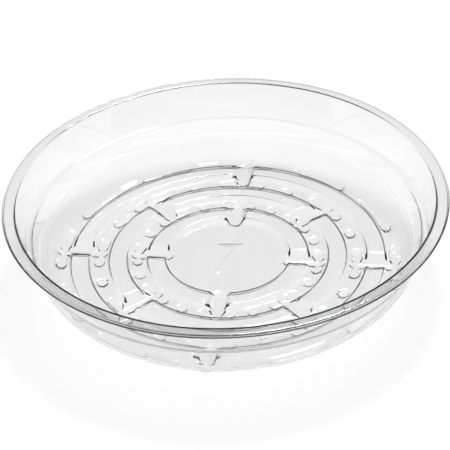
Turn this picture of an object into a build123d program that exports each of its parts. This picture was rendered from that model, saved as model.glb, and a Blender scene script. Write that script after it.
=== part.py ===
"""Clear plastic plant saucer, 7 inches across: one sheet, drawn by heat over a mould.

The sheet runs from a ribbed floor round a wide heel, up a wall with a ledge half way, and out to a flat
rim whose edge is turned down. Three raised ring ribs carry the pot. Each is broken by four notches, and the
notches open into long dimples in the channels between the ribs. Those dimples, and the small round ones
between them, are pressed through below the floor, and the saucer stands on them.

Millimetres, +Z up. The origin is on the axis, at the level of the surface that the feet stand on.
"""

import os
from math import cos, radians, sin, sqrt, tan

from build123d import *

# Sheet
sheet = 0.6

# Rim and wall
rim_radius = 88.9
overall_height = 34.0
lip_width = 1.2
lip_drop = 1.2
flange_width = 3.85
upper_draft = 13.0
ledge_drop = 14.6
ledge_width = 1.9
lower_draft = 9.0
heel_radius = 11.4
heel_flats = 4

# Ribs that the pot stands on
rib_count = 3
rib_width = 7.4
rib_pitch = 15.6
rib_height = 2.2
rib_draft = 22.0
heel_margin = 0.9

# Feet pressed through the floor, and the notches across the ribs that join them, as wide as at floor level
foot_depth = 1.4
foot_width = 3.6
foot_draft = 26.0
foot_arc = 16.0
channel_feet = 8
outer_feet = 12
notch_count = 4
notch_width = 5.4
notch_reach = 1.6

# Levels of the sheet's upper face, and how far the forms reach past it
foot_level = sheet
floor_level = foot_depth + sheet
rib_level = floor_level + rib_height
ledge_level = overall_height - ledge_drop
lip_level = overall_height - lip_drop
overrun = 1.0
mouth_level = rib_level + overrun

# Radii on the sheet's upper face, worked inwards from the rim
flange_outer = rim_radius - lip_width
flange_inner = flange_outer - flange_width
ledge_outer = flange_inner - ledge_drop * tan(radians(upper_draft))
ledge_inner = ledge_outer - ledge_width
heel_turn = 90 - lower_draft
heel_corner = ledge_inner - (ledge_level - floor_level) * tan(radians(lower_draft))
heel_start = heel_corner - heel_radius * tan(radians(heel_turn / 2))
rib_run = rib_height * tan(radians(rib_draft))
outer_rib = heel_start - heel_margin - rib_run - rib_width / 2
rib_radii = [outer_rib - rib_pitch * step for step in reversed(range(rib_count))]
channel_radii = [rib + rib_pitch / 2 for rib in rib_radii]


def upper_corners():
    """Corners of the sheet's upper face, radius and height, from the axis to the lip."""
    corners = [(0, floor_level)]
    for rib in rib_radii:
        inner, outer = rib - rib_width / 2, rib + rib_width / 2
        corners += [
            (inner - rib_run, floor_level),
            (inner, rib_level),
            (outer, rib_level),
            (outer + rib_run, floor_level),
        ]
    for step in range(heel_flats + 1):
        turn = radians(heel_turn * step / heel_flats)
        corners.append((heel_start + heel_radius * sin(turn), floor_level + heel_radius * (1 - cos(turn))))
    return corners + [
        (ledge_inner, ledge_level),
        (ledge_outer, ledge_level),
        (flange_inner, overall_height),
        (flange_outer, overall_height),
        (rim_radius, lip_level),
    ]


def face_line(skin):
    """Corners of the face that lies skin below the sheet's upper face."""
    corners = [Vector(*corner) for corner in upper_corners()]
    runs = [(end - start).normalized() for start, end in zip(corners, corners[1:])]
    down = [Vector(run.Y, -run.X) for run in runs]
    mitres = [(one + two) / (1 + one.dot(two)) for one, two in zip(down, down[1:])]
    moves = down[:1] + mitres + down[-1:]
    points = [corner + move * skin for corner, move in zip(corners, moves)]
    return [(round(point.X, 6), round(point.Y, 6)) for point in points]


def pad(length, width):
    """Outline of a foot or a notch: a rectangle with corners cut as on an even octagon."""
    with BuildSketch() as outline:
        Rectangle(length, width)
        chamfer(outline.vertices(), min(length, width) * (1 - 1 / sqrt(2)))
    return outline.sketch


def dimples(skin):
    """Feet and notches as they come out of a form that lies skin below the sheet's upper face.

    They are drawn upside down, from their mouths at level 0, and narrow upwards.
    """
    draft = radians(foot_draft)
    depth = mouth_level - foot_level + skin
    spread = (mouth_level - floor_level) * tan(draft) + skin / cos(draft)
    foot = foot_width + 2 * spread
    crossing = notch_width + 2 * spread
    patterns = []
    # Long feet in the channels between the ribs, and round the outside of the last rib
    for channel in channel_radii:
        count = outer_feet if channel == channel_radii[-1] else channel_feet
        length = 2 * channel * sin(radians(foot_arc / 2)) + foot
        patterns.append((pad(foot, length), PolarLocations(channel, count)))
    # Round feet half way between the long ones
    for channel in channel_radii[:-1]:
        places = PolarLocations(channel, channel_feet, start_angle=180 / channel_feet)
        patterns.append((pad(foot, foot), places))
    # Notches from foot to foot, turned by half a step on every other rib
    for index, (rib, channel) in enumerate(zip(rib_radii, channel_radii)):
        inner_end = channel - rib_pitch if index else rib - rib_width / 2 - rib_run - notch_reach
        length = channel - inner_end + 2 * spread
        turn = 180 / notch_count * (index % 2)
        places = PolarLocations((inner_end + channel) / 2, notch_count, start_angle=turn)
        patterns.append((pad(length, crossing), places))
    with BuildPart() as space:
        for outline, places in patterns:
            with BuildSketch():
                with places:
                    add(outline)
            extrude(amount=depth, taper=foot_draft)
    return space.part


def form(line, skin):
    """Everything under a line of the sheet's section, with the feet and notches pressed in."""
    pressed = dimples(skin)
    side = cut_end[0] - sheet + skin
    bottom = -overrun - skin
    with BuildPart() as body:
        with BuildSketch(Plane.XZ):
            with BuildLine():
                Polyline(*line, (side, bottom), (0, bottom), close=True)
            make_face()
        revolve(axis=Axis.Z)
        with Locations((0, 0, mouth_level)):
            add(pressed, rotation=(180, 0, 0), mode=Mode.SUBTRACT)
    return body.part


# The sheet is what lies between two forms, from its upper face and the cut edge of its lip to its lower face
upper_line, lower_line = face_line(0), face_line(sheet)
cut_end = lower_line[-1]
upper_form = form(upper_line + [cut_end], 0)
lower_form = form(lower_line, sheet)

with BuildPart() as saucer:
    add(upper_form)
    add(lower_form, mode=Mode.SUBTRACT)

saucer.part.label = "saucer"
os.makedirs("parts", exist_ok=True)
export_step(saucer.part, "parts/saucer.step")
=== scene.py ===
"""Clear plastic plant saucer: the formed sheet and a pale stage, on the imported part."""

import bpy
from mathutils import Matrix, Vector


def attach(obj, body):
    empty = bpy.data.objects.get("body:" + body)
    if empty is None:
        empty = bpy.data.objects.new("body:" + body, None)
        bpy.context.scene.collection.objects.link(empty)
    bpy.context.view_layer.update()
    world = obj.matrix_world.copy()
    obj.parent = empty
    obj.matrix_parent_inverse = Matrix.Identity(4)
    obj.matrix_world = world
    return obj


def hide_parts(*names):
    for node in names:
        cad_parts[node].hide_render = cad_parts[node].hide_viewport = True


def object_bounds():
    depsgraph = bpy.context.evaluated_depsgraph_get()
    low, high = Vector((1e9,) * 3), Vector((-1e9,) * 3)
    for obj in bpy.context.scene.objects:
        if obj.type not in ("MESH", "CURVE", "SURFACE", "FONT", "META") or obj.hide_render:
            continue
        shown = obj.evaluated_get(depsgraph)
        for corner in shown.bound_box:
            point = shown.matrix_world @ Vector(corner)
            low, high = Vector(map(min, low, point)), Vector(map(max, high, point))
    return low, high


bl_info = {
    "name": "Plant Saucer",
    "version": (1, 0, 0),
    "blender": (4, 5, 0),
    "location": "View3D > Sidebar > Saucer",
    "description": "Builds a clear formed plant saucer and the stage that it is shown on",
    "category": "Object",
}

from math import atan2, ceil, cos, hypot, pi, radians, sin, tan

import bmesh
import bpy
from bpy.props import FloatProperty, FloatVectorProperty, IntProperty, PointerProperty
from mathutils import Matrix, Vector

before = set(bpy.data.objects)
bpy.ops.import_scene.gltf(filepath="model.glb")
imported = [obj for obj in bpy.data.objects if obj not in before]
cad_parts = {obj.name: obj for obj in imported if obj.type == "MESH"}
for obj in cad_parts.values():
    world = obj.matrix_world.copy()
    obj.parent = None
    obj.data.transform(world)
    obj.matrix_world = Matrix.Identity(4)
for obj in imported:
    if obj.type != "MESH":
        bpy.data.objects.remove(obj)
CAD_LOW, CAD_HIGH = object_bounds()


# Fineness of the mesh
SPIN_STEPS = 192
BEND_STEP = 0.0003
BEND_CUTS = 4
HEEL_STEP = 0.0013
HEEL_BEND = 0.005
CHANNEL_TOP = 0.003
CHANNEL_STEP = 0.0013
FINE_PASSES = 5
FINE_SIDE = 0.0003
FINE_ROUND = 0.00004
SAME_PLACE = 1e-6

# Sides of the pressed forms: where the mesh is fine, how far they reach, their round edges
FINE_INSIDE = 0.0009
FINE_OUTSIDE = 0.0013
FINE_TOP = 0.0075
PRESS_REACH = 0.004
FOOT_BEND = 0.0009
EDGE_BEND = 0.0016

# Floor under the feet, and the camera's picture width in millimetres
FLOOR_LEVEL = -0.0002
FLOOR_SIDES = 96
PICTURE_WIDTH = 36


class SaucerWall(bpy.types.PropertyGroup):
    """Sizes of the sheet from the heel to the lip"""

    sheet: FloatProperty(
        name="Sheet",
        description="Thickness of the plastic up to the ledge",
        default=0.0006,
        unit="LENGTH",
    )
    rim_sheet: FloatProperty(
        name="Rim sheet",
        description="Thickness of the plastic at the rim, where it isn't drawn out",
        default=0.001,
        unit="LENGTH",
    )
    rim_radius: FloatProperty(
        name="Rim radius",
        description="From the axis to the outside of the lip",
        default=CAD_HIGH.x,
        unit="LENGTH",
    )
    height: FloatProperty(
        name="Height",
        description="From the feet to the top of the rim",
        default=CAD_HIGH.z,
        unit="LENGTH",
    )
    flange_width: FloatProperty(
        name="Flange",
        description="Width of the rim from the wall to its outer edge",
        default=0.0053,
        unit="LENGTH",
    )
    lip_bend: FloatProperty(
        name="Lip bend",
        description="Outer radius of the rolled edge",
        default=0.00115,
        unit="LENGTH",
    )
    lip_drop: FloatProperty(
        name="Lip drop", description="Height of the rolled edge", default=0.0012, unit="LENGTH"
    )
    upper_draft: FloatProperty(
        name="Upper draft",
        description="Lean of the wall above the ledge",
        default=radians(13),
        subtype="ANGLE",
    )
    ledge_drop: FloatProperty(
        name="Ledge drop",
        description="From the rim down to the ledge",
        default=0.0146,
        unit="LENGTH",
    )
    ledge_width: FloatProperty(
        name="Ledge width",
        description="Width of the ledge in the wall",
        default=0.0019,
        unit="LENGTH",
    )
    ledge_bend: FloatProperty(
        name="Ledge bend",
        description="Smaller radius of the bends at the ledge",
        default=0.0008,
        unit="LENGTH",
    )
    lower_draft: FloatProperty(
        name="Lower draft",
        description="Lean of the wall below the ledge",
        default=radians(9),
        subtype="ANGLE",
    )
    heel_radius: FloatProperty(
        name="Heel radius",
        description="Bend from the floor to the wall",
        default=0.0114,
        unit="LENGTH",
    )
    bend: FloatProperty(
        name="Bend",
        description="Inner radius of the small bends in the sheet",
        default=0.0003,
        unit="LENGTH",
    )


class SaucerFloor(bpy.types.PropertyGroup):
    """Sizes of the ribs, the feet and the notches"""

    rib_count: IntProperty(name="Ribs", description="Number of ring ribs", default=3)
    rib_width: FloatProperty(
        name="Rib width", description="Width of a rib's top", default=0.0074, unit="LENGTH"
    )
    rib_pitch: FloatProperty(
        name="Rib pitch", description="From one rib to the next", default=0.0156, unit="LENGTH"
    )
    rib_height: FloatProperty(
        name="Rib height",
        description="Height of a rib over the floor",
        default=0.0022,
        unit="LENGTH",
    )
    rib_draft: FloatProperty(
        name="Rib draft", description="Lean of a rib's sides", default=radians(22), subtype="ANGLE"
    )
    heel_margin: FloatProperty(
        name="Heel margin",
        description="Flat floor between the last rib and the heel",
        default=0.0009,
        unit="LENGTH",
    )
    foot_depth: FloatProperty(
        name="Foot depth",
        description="Depth of a foot under the floor",
        default=0.0014,
        unit="LENGTH",
    )
    foot_width: FloatProperty(
        name="Foot width",
        description="Width of a foot at floor level",
        default=0.0036,
        unit="LENGTH",
    )
    foot_draft: FloatProperty(
        name="Foot draft",
        description="Lean of the sides of feet and notches",
        default=radians(26),
        subtype="ANGLE",
    )
    foot_arc: FloatProperty(
        name="Foot arc",
        description="Turn that a long foot's centre line takes",
        default=radians(16),
        subtype="ANGLE",
    )
    channel_feet: IntProperty(
        name="Channel feet", description="Long feet in each channel", default=8
    )
    outer_feet: IntProperty(
        name="Outer feet", description="Long feet outside the last rib", default=12
    )
    notch_count: IntProperty(name="Notches", description="Notches in each rib", default=4)
    notch_width: FloatProperty(
        name="Notch width",
        description="Width of a notch at floor level",
        default=0.0054,
        unit="LENGTH",
    )
    notch_reach: FloatProperty(
        name="Notch reach",
        description="How far the inner notches cut into the middle",
        default=0.0016,
        unit="LENGTH",
    )


class SaucerNumeral(bpy.types.PropertyGroup):
    """Plain size numeral raised in the middle of the floor: a 7, drawn as a bar and a stem"""

    bar_left: FloatVectorProperty(
        name="Bar left",
        description="Left end of the bar",
        size=2,
        subtype="XYZ",
        default=(-0.0042, 0.0082),
    )
    bar_right: FloatVectorProperty(
        name="Bar right",
        description="Right end of the bar",
        size=2,
        subtype="XYZ",
        default=(0.0042, 0.0088),
    )
    stem_bend: FloatVectorProperty(
        name="Stem bend",
        description="Where the stem bends",
        size=2,
        subtype="XYZ",
        default=(0.0009, 0.0022),
    )
    stem_foot: FloatVectorProperty(
        name="Stem foot",
        description="Lower end of the stem",
        size=2,
        subtype="XYZ",
        default=(-0.0032, -0.0095),
    )
    stroke: FloatProperty(
        name="Stroke", description="Width of a stroke", default=0.0024, unit="LENGTH"
    )
    edge: FloatProperty(
        name="Edge", description="Width of a stroke's sloping edge", default=0.0005, unit="LENGTH"
    )
    relief: FloatProperty(
        name="Relief", description="Height of a stroke", default=0.00015, unit="LENGTH"
    )


class SaucerFinish(bpy.types.PropertyGroup):
    """Look of the clear plastic"""

    colour: FloatVectorProperty(
        name="Colour",
        description="Tint of the plastic",
        size=3,
        subtype="COLOR",
        default=(1.0, 1.0, 1.0),
    )
    ior: FloatProperty(
        name="Refraction", description="Index of refraction of the plastic", default=1.575
    )
    roughness: FloatProperty(
        name="Roughness",
        description="Haze of the surface",
        default=0.02,
        subtype="FACTOR",
        min=0,
        max=1,
    )
    density: FloatProperty(
        name="Density",
        description="Light that the plastic takes up on its way through, per metre",
        default=100.0,
    )


class SaucerStage(bpy.types.PropertyGroup):
    """Camera, floor, room and lamp"""

    azimuth: FloatProperty(
        name="Azimuth",
        description="Turn of the camera round the saucer",
        default=radians(8.5),
        subtype="ANGLE",
    )
    elevation: FloatProperty(
        name="Elevation",
        description="Height of the camera over the horizon",
        default=radians(35.03),
        subtype="ANGLE",
    )
    roll: FloatProperty(
        name="Roll",
        description="Tilt of the camera about its own line of sight",
        default=radians(-2.618),
        subtype="ANGLE",
    )
    distance: FloatProperty(
        name="Distance",
        description="From the middle of the rim to the camera",
        default=0.7101,
        unit="LENGTH",
    )
    aim: FloatVectorProperty(
        name="Aim",
        description="Point that the camera looks at: right of the axis, behind it and below the rim",
        size=3,
        subtype="TRANSLATION",
        default=(-0.00056, 0.0, -0.0155),
    )
    lens: FloatProperty(name="Lens", description="Focal length in millimetres", default=142.7)
    floor_radius: FloatProperty(
        name="Floor radius", description="Radius of the pale floor", default=1.5, unit="LENGTH"
    )
    floor_colour: FloatProperty(
        name="Floor colour",
        description="Share of the lamp's light that the floor scatters",
        default=0.18,
    )
    floor_glow: FloatProperty(
        name="Floor glow",
        description="Share of the white that the floor shows by itself",
        default=0.9,
    )
    surround: FloatProperty(name="Surround", description="Brightness of the room", default=0.01)
    lamp_size: FloatProperty(
        name="Lamp size", description="Side of the square lamp", default=0.3, unit="LENGTH"
    )
    lamp_distance: FloatProperty(
        name="Lamp distance", description="From the saucer to the lamp", default=1.2, unit="LENGTH"
    )
    lamp_elevation: FloatProperty(
        name="Lamp elevation",
        description="Height of the lamp over the horizon",
        default=radians(60),
        subtype="ANGLE",
    )
    lamp_turn: FloatProperty(
        name="Lamp turn",
        description="Turn of the lamp round the saucer from the camera",
        default=radians(165),
        subtype="ANGLE",
    )
    lamp_power: FloatProperty(
        name="Lamp power", description="Power of the lamp in watts", default=16.0
    )


def upper_corners(wall, floor):
    """Corners of the sheet's upper face from the axis to the lip: radius, height and bend radius."""
    floor_level = wall.sheet + floor.foot_depth
    rib_level = floor_level + floor.rib_height
    ledge_level = wall.height - wall.ledge_drop
    flange_inner = wall.rim_radius - wall.flange_width
    ledge_outer = flange_inner - wall.ledge_drop * tan(wall.upper_draft)
    ledge_inner = ledge_outer - wall.ledge_width
    heel_corner = ledge_inner - (ledge_level - floor_level) * tan(wall.lower_draft)
    rib_run = floor.rib_height * tan(floor.rib_draft)
    hollow = wall.bend
    crown = wall.bend + wall.sheet
    rim_crown = wall.bend + wall.rim_sheet
    corners = [(0, floor_level, 0)]
    for rib in rib_radii(wall, floor):
        inner, outer = rib - floor.rib_width / 2, rib + floor.rib_width / 2
        corners += [
            (inner - rib_run, floor_level, hollow),
            (inner, rib_level, crown),
            (outer, rib_level, crown),
            (outer + rib_run, floor_level, hollow),
        ]
    return corners + [
        (heel_corner, floor_level, wall.heel_radius),
        (ledge_inner, ledge_level, wall.ledge_bend + wall.sheet),
        (ledge_outer, ledge_level, wall.ledge_bend),
        (flange_inner, wall.height, rim_crown),
        (wall.rim_radius, wall.height, wall.lip_bend),
        (wall.rim_radius, wall.height - wall.lip_drop, 0),
    ]


def rib_radii(wall, floor):
    """Radii of the middles of the ribs, worked inwards from the rim."""
    floor_level = wall.sheet + floor.foot_depth
    flange_inner = wall.rim_radius - wall.flange_width
    ledge_inner = flange_inner - wall.ledge_drop * tan(wall.upper_draft) - wall.ledge_width
    wall_run = (wall.height - wall.ledge_drop - floor_level) * tan(wall.lower_draft)
    heel_run = wall.heel_radius * tan((pi / 2 - wall.lower_draft) / 2)
    rib_run = floor.rib_height * tan(floor.rib_draft)
    heel_start = ledge_inner - wall_run - heel_run
    outer_rib = heel_start - floor.heel_margin - rib_run - floor.rib_width / 2
    return [outer_rib - floor.rib_pitch * step for step in reversed(range(floor.rib_count))]


def draw_section(bm, corners):
    """Draws half a section of the sheet's upper face in the XZ plane, with its corners bent."""
    verts = [bm.verts.new((radius, 0, height)) for radius, height, _ in corners]
    for start, end in zip(verts, verts[1:]):
        bm.edges.new((start, end))
    bends = []
    for before, vert, after, (_, _, bend) in zip(verts, verts[1:], verts[2:], corners[1:]):
        turn = (vert.co - before.co).angle(after.co - vert.co)
        step = BEND_STEP if bend < HEEL_BEND else HEEL_STEP
        bends.append((vert, bend * tan(turn / 2), max(BEND_CUTS, ceil(bend * turn / step))))
    for vert, reach, segments in bends:
        bmesh.ops.bevel(
            bm,
            geom=[vert],
            offset=reach,
            offset_type="OFFSET",
            affect="VERTICES",
            segments=segments,
            profile=0.5,
            material=-1,
        )


def divide_channels(bm):
    """Divides the flat lengths of the floor evenly."""
    channels = []
    for edge in bm.edges:
        low, high = sorted(vert.co.z for vert in edge.verts)
        if high - low < SAME_PLACE and low < CHANNEL_TOP:
            channels.append(edge)
    for edge in channels:
        cuts = int(edge.calc_length() / CHANNEL_STEP)
        bmesh.ops.subdivide_edges(bm, edges=[edge], cuts=cuts)


def spin_section(bm):
    """Turns the section round the axis into a closed dish."""
    bmesh.ops.spin(
        bm,
        geom=bm.verts[:] + bm.edges[:],
        cent=(0, 0, 0),
        axis=(0, 0, 1),
        angle=2 * pi,
        steps=SPIN_STEPS,
        use_merge=True,
    )
    bmesh.ops.remove_doubles(bm, verts=bm.verts, dist=SAME_PLACE)


def fold(turn, count):
    """Turn from the nearest of count places spread evenly round the axis."""
    step = 2 * pi / count
    return abs(turn - step * round(turn / step))


def gap_to_arc(point, radius, half_arc, count, phase):
    """Distance from the nearest of count arcs round the axis."""
    away = hypot(point.x, point.y)
    past = fold(atan2(point.y, point.x) - phase, count) - half_arc
    if past <= 0:
        return abs(away - radius)
    return hypot(away * cos(past) - radius, away * sin(past))


def gap_to_spoke(point, inner, outer, count, phase):
    """Distance from the nearest of count lines that run outwards from the axis."""
    away = hypot(point.x, point.y)
    turn = fold(atan2(point.y, point.x) - phase, count)
    along = away * cos(turn)
    return hypot(away * sin(turn), max(inner - along, along - outer, 0))


def gap_to_line(point, start, end):
    """Distance from a straight line, seen from above."""
    run = end - start
    share = (point.to_2d() - start).dot(run) / run.length_squared
    return (point.to_2d() - start - run * min(max(share, 0), 1)).length


def numeral_lines(numeral):
    """Centre lines of the numeral's strokes."""
    places = [numeral.bar_left, numeral.bar_right, numeral.stem_bend, numeral.stem_foot]
    ends = [Vector(place) for place in places]
    return list(zip(ends, ends[1:]))


def pressed_forms(wall, floor):
    """Each pattern of feet or notches: how to find the gap to its centre lines, and half its width."""
    ribs = rib_radii(wall, floor)
    channels = [rib + floor.rib_pitch / 2 for rib in ribs]
    narrowing = floor.foot_depth * tan(floor.foot_draft)
    foot = floor.foot_width / 2 - narrowing
    notch = floor.notch_width / 2 - narrowing
    forms = []
    for channel in channels:
        count = floor.outer_feet if channel == channels[-1] else floor.channel_feet
        forms.append((gap_to_arc, (channel, floor.foot_arc / 2, count, 0), foot))
    for channel in channels[:-1]:
        forms.append((gap_to_arc, (channel, 0, floor.channel_feet, pi / floor.channel_feet), foot))
    middle = ribs[0] - floor.rib_width / 2 - floor.rib_height * tan(floor.rib_draft)
    for index, channel in enumerate(channels):
        if index:
            inner = channel - floor.rib_pitch
        else:
            inner = middle - floor.notch_reach + floor.notch_width / 2
        phase = pi / floor.notch_count * (index % 2)
        forms.append((gap_to_spoke, (inner, channel, floor.notch_count, phase), notch))
    return forms


def smooth_ramp(value, blend):
    """Zero below zero and the value above it, with a round start."""
    if value <= -blend:
        return 0
    if value >= blend:
        return value
    return (value + blend) ** 2 / (4 * blend)


def smooth_min(one, two, blend):
    """The lower of two heights, with a round edge where they meet."""
    near = max(blend - abs(one - two), 0) / blend
    return min(one, two) - near * near * blend / 4


def side_of(point, forms):
    """How far a point lies outside the bottom of the nearest pressed form; below zero inside it."""
    return min(gap(point, *place) - half for gap, place, half in forms)


def refine(bm, forms):
    """Halves the edges that run up the sides of forms, or cut across curves, until they are fine."""
    for _ in range(FINE_PASSES):
        sides = {vert: side_of(vert.co, forms) for vert in bm.verts if vert.co.z < FINE_TOP}
        edges = []
        for edge in bm.edges:
            if not all(vert in sides for vert in edge.verts):
                continue
            start, end = (sides[vert] for vert in edge.verts)
            middle = side_of((edge.verts[0].co + edge.verts[1].co) / 2, forms)
            if not -FINE_INSIDE < middle < FINE_OUTSIDE:
                continue
            if abs(start - end) > FINE_SIDE or abs(start + end - 2 * middle) > FINE_ROUND:
                edges.append(edge)
        bmesh.ops.subdivide_edges(bm, edges=edges, cuts=1, use_grid_fill=True)


def press(bm, forms, level, draft):
    """Presses feet and notches into the floor."""
    for vert in bm.verts:
        side = side_of(vert.co, forms)
        if side < PRESS_REACH:
            form_level = level + smooth_ramp(side, FOOT_BEND) / tan(draft)
            vert.co.z = smooth_min(vert.co.z, form_level, EDGE_BEND)


def grade_sheet(bm, wall):
    """Notes the sheet's thickness as a share of the rim's: even up to the ledge, then growing."""
    shares = bm.verts.layers.deform.verify()
    ledge_level = wall.height - wall.ledge_drop
    thin = wall.sheet / wall.rim_sheet
    for vert in bm.verts:
        rise = min(max((vert.co.z - ledge_level) / wall.ledge_drop, 0), 1)
        vert[shares][0] = thin + (1 - thin) * rise


def raise_numeral(bm, numeral):
    """Raises the strokes of the numeral out of the floor, with flat tops and sloping edges."""
    lines = numeral_lines(numeral)
    for vert in bm.verts:
        inside = numeral.stroke / 2 - min(gap_to_line(vert.co, *line) for line in lines)
        if inside > 0:
            vert.co.z += numeral.relief * (1 - cos(pi * min(inside / numeral.edge, 1))) / 2


def face_upwards(bm):
    """Turns the sheet's faces up and shades them smooth, with a sharp cut edge."""
    bmesh.ops.recalc_face_normals(bm, faces=bm.faces)
    middle = min(bm.faces, key=lambda face: face.calc_center_median().to_2d().length)
    if middle.normal.z < 0:
        bmesh.ops.reverse_faces(bm, faces=bm.faces)
    for face in bm.faces:
        face.smooth = True
    for edge in bm.edges:
        edge.smooth = not edge.is_boundary


def clear_plastic(finish):
    """Material of the sheet."""
    material = bpy.data.materials.new("clear_plastic")
    material.use_nodes = True
    shader = material.node_tree.nodes["Principled BSDF"]
    shader.inputs["Base Color"].default_value = (*finish.colour, 1)
    shader.inputs["Roughness"].default_value = finish.roughness
    shader.inputs["IOR"].default_value = finish.ior
    shader.inputs["Transmission Weight"].default_value = 1
    depth = material.node_tree.nodes.new("ShaderNodeVolumeAbsorption")
    depth.inputs["Color"].default_value = (0, 0, 0, 1)
    depth.inputs["Density"].default_value = finish.density
    output = material.node_tree.nodes["Material Output"]
    material.node_tree.links.new(depth.outputs["Volume"], output.inputs["Volume"])
    return material


def pale_floor(stage):
    """Material of the floor: matt, and white by itself, seen directly or by way of the plastic."""
    material = bpy.data.materials.new("pale_floor")
    material.use_nodes = True
    nodes, links = material.node_tree.nodes, material.node_tree.links
    shader = nodes["Principled BSDF"]
    shader.inputs["Base Color"].default_value = (*[stage.floor_colour] * 3, 1)
    shader.inputs["Roughness"].default_value = 1
    shader.inputs["Specular IOR Level"].default_value = 0
    shader.inputs["Emission Color"].default_value = (1, 1, 1, 1)
    path = nodes.new("ShaderNodeLightPath")
    seen = nodes.new("ShaderNodeMath")
    seen.operation = "MAXIMUM"
    links.new(path.outputs["Is Camera Ray"], seen.inputs[0])
    links.new(path.outputs["Is Glossy Ray"], seen.inputs[1])
    shown = nodes.new("ShaderNodeMath")
    shown.operation = "MAXIMUM"
    links.new(seen.outputs[0], shown.inputs[0])
    links.new(path.outputs["Is Transmission Ray"], shown.inputs[1])
    glow = nodes.new("ShaderNodeMath")
    glow.operation = "MULTIPLY"
    glow.inputs[1].default_value = stage.floor_glow
    links.new(shown.outputs[0], glow.inputs[0])
    links.new(glow.outputs[0], shader.inputs["Emission Strength"])
    return material


class SAUCER_OT_sheet(bpy.types.Operator):
    """Forms the clear sheet: section, spin, feet and notches, thickness"""

    bl_idname = "saucer.sheet"
    bl_label = "Formed sheet"

    def execute(self, context):
        wall = context.scene.saucer_wall
        floor = context.scene.saucer_floor
        numeral = context.scene.saucer_numeral
        forms = pressed_forms(wall, floor)
        bm = bmesh.new()
        draw_section(bm, upper_corners(wall, floor))
        divide_channels(bm)
        spin_section(bm)
        flat = numeral.stroke / 2 - numeral.edge
        strokes = [(gap_to_line, line, flat) for line in numeral_lines(numeral)]
        refine(bm, forms + strokes)
        press(bm, forms, wall.sheet, floor.foot_draft)
        raise_numeral(bm, numeral)
        grade_sheet(bm, wall)
        face_upwards(bm)
        mesh = bpy.data.meshes.new("saucer_sheet")
        bm.to_mesh(mesh)
        bm.free()
        sheet = bpy.data.objects.new("saucer_sheet", mesh)
        context.collection.objects.link(sheet)
        mesh.materials.append(clear_plastic(context.scene.saucer_finish))
        thickness = sheet.modifiers.new("Thickness", "SOLIDIFY")
        thickness.thickness = wall.rim_sheet
        thickness.vertex_group = sheet.vertex_groups.new(name="gauge").name
        thickness.offset = -1
        thickness.use_even_offset = True
        thickness.use_quality_normals = True
        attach(sheet, "root")
        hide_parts("saucer")
        return {"FINISHED"}


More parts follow.
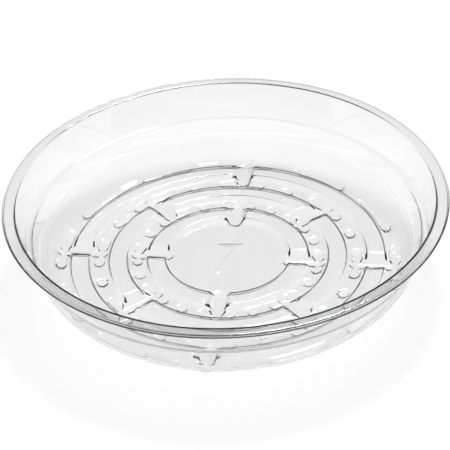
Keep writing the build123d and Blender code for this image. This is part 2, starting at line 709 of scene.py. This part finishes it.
class SAUCER_OT_stage(bpy.types.Operator):
    """Sets the camera, the pale floor, the room and the lamp"""

    bl_idname = "saucer.stage"
    bl_label = "Stage"

    def execute(self, context):
        scene, stage = context.scene, context.scene.saucer_stage
        self.add_camera(scene, stage, scene.saucer_wall.height)
        self.add_floor(scene, stage)
        self.add_room(scene, stage)
        self.add_lamp(scene, stage)
        scene.view_settings.view_transform = "Standard"
        return {"FINISHED"}

    def add_camera(self, scene, stage, rim_level):
        rim = Vector((0, 0, rim_level))
        turn = Matrix.Rotation(stage.azimuth, 3, "Z")
        towards = turn @ Vector((0, -cos(stage.elevation), sin(stage.elevation)))
        place = rim + towards * stage.distance
        sight = rim + turn @ Vector(stage.aim) - place
        data = bpy.data.cameras.new("camera")
        data.lens = stage.lens
        data.sensor_width = PICTURE_WIDTH
        camera = bpy.data.objects.new("camera", data)
        camera.location = place
        camera.rotation_mode = "QUATERNION"
        roll = Matrix.Rotation(stage.roll, 3, "Z").to_quaternion()
        camera.rotation_quaternion = sight.to_track_quat("-Z", "Y") @ roll
        scene.collection.objects.link(camera)
        scene.camera = camera

    def add_floor(self, scene, stage):
        bm = bmesh.new()
        bmesh.ops.create_circle(bm, cap_ends=True, segments=FLOOR_SIDES, radius=stage.floor_radius)
        bmesh.ops.translate(bm, vec=(0, 0, FLOOR_LEVEL), verts=bm.verts)
        mesh = bpy.data.meshes.new("floor")
        bm.to_mesh(mesh)
        bm.free()
        mesh.materials.append(pale_floor(stage))
        floor = bpy.data.objects.new("floor", mesh)
        scene.collection.objects.link(floor)

    def add_room(self, scene, stage):
        world = bpy.data.worlds.new("room")
        world.use_nodes = True
        background = world.node_tree.nodes["Background"]
        background.inputs["Color"].default_value = (1, 1, 1, 1)
        background.inputs["Strength"].default_value = stage.surround
        scene.world = world

    def add_lamp(self, scene, stage):
        turn = Matrix.Rotation(stage.azimuth + stage.lamp_turn, 3, "Z")
        towards = turn @ Vector((0, -cos(stage.lamp_elevation), sin(stage.lamp_elevation)))
        data = bpy.data.lights.new("lamp", "AREA")
        data.shape = "SQUARE"
        data.size = stage.lamp_size
        data.energy = stage.lamp_power
        lamp = bpy.data.objects.new("lamp", data)
        lamp.location = towards * stage.lamp_distance
        lamp.rotation_mode = "QUATERNION"
        lamp.rotation_quaternion = (-towards).to_track_quat("-Z", "Y")
        scene.collection.objects.link(lamp)


class SAUCER_PT_panel(bpy.types.Panel):
    """Lists the steps that build the saucer"""

    bl_idname = "SAUCER_PT_panel"
    bl_label = "Plant Saucer"
    bl_space_type = "VIEW_3D"
    bl_region_type = "UI"
    bl_category = "Saucer"

    def draw(self, context):
        for step in STEPS:
            self.layout.operator(step.bl_idname)


SIZES = (SaucerWall, SaucerFloor, SaucerNumeral, SaucerFinish, SaucerStage)
STEPS = (SAUCER_OT_sheet, SAUCER_OT_stage)


def register():
    for kind in SIZES + STEPS + (SAUCER_PT_panel,):
        bpy.utils.register_class(kind)
    bpy.types.Scene.saucer_wall = PointerProperty(type=SaucerWall)
    bpy.types.Scene.saucer_floor = PointerProperty(type=SaucerFloor)
    bpy.types.Scene.saucer_numeral = PointerProperty(type=SaucerNumeral)
    bpy.types.Scene.saucer_finish = PointerProperty(type=SaucerFinish)
    bpy.types.Scene.saucer_stage = PointerProperty(type=SaucerStage)


def unregister():
    del bpy.types.Scene.saucer_stage
    del bpy.types.Scene.saucer_finish
    del bpy.types.Scene.saucer_numeral
    del bpy.types.Scene.saucer_floor
    del bpy.types.Scene.saucer_wall
    for kind in reversed(SIZES + STEPS + (SAUCER_PT_panel,)):
        bpy.utils.unregister_class(kind)


def main():
    register()
    bpy.ops.saucer.sheet()
    bpy.ops.saucer.stage()


if __name__ == "__main__":
    main()
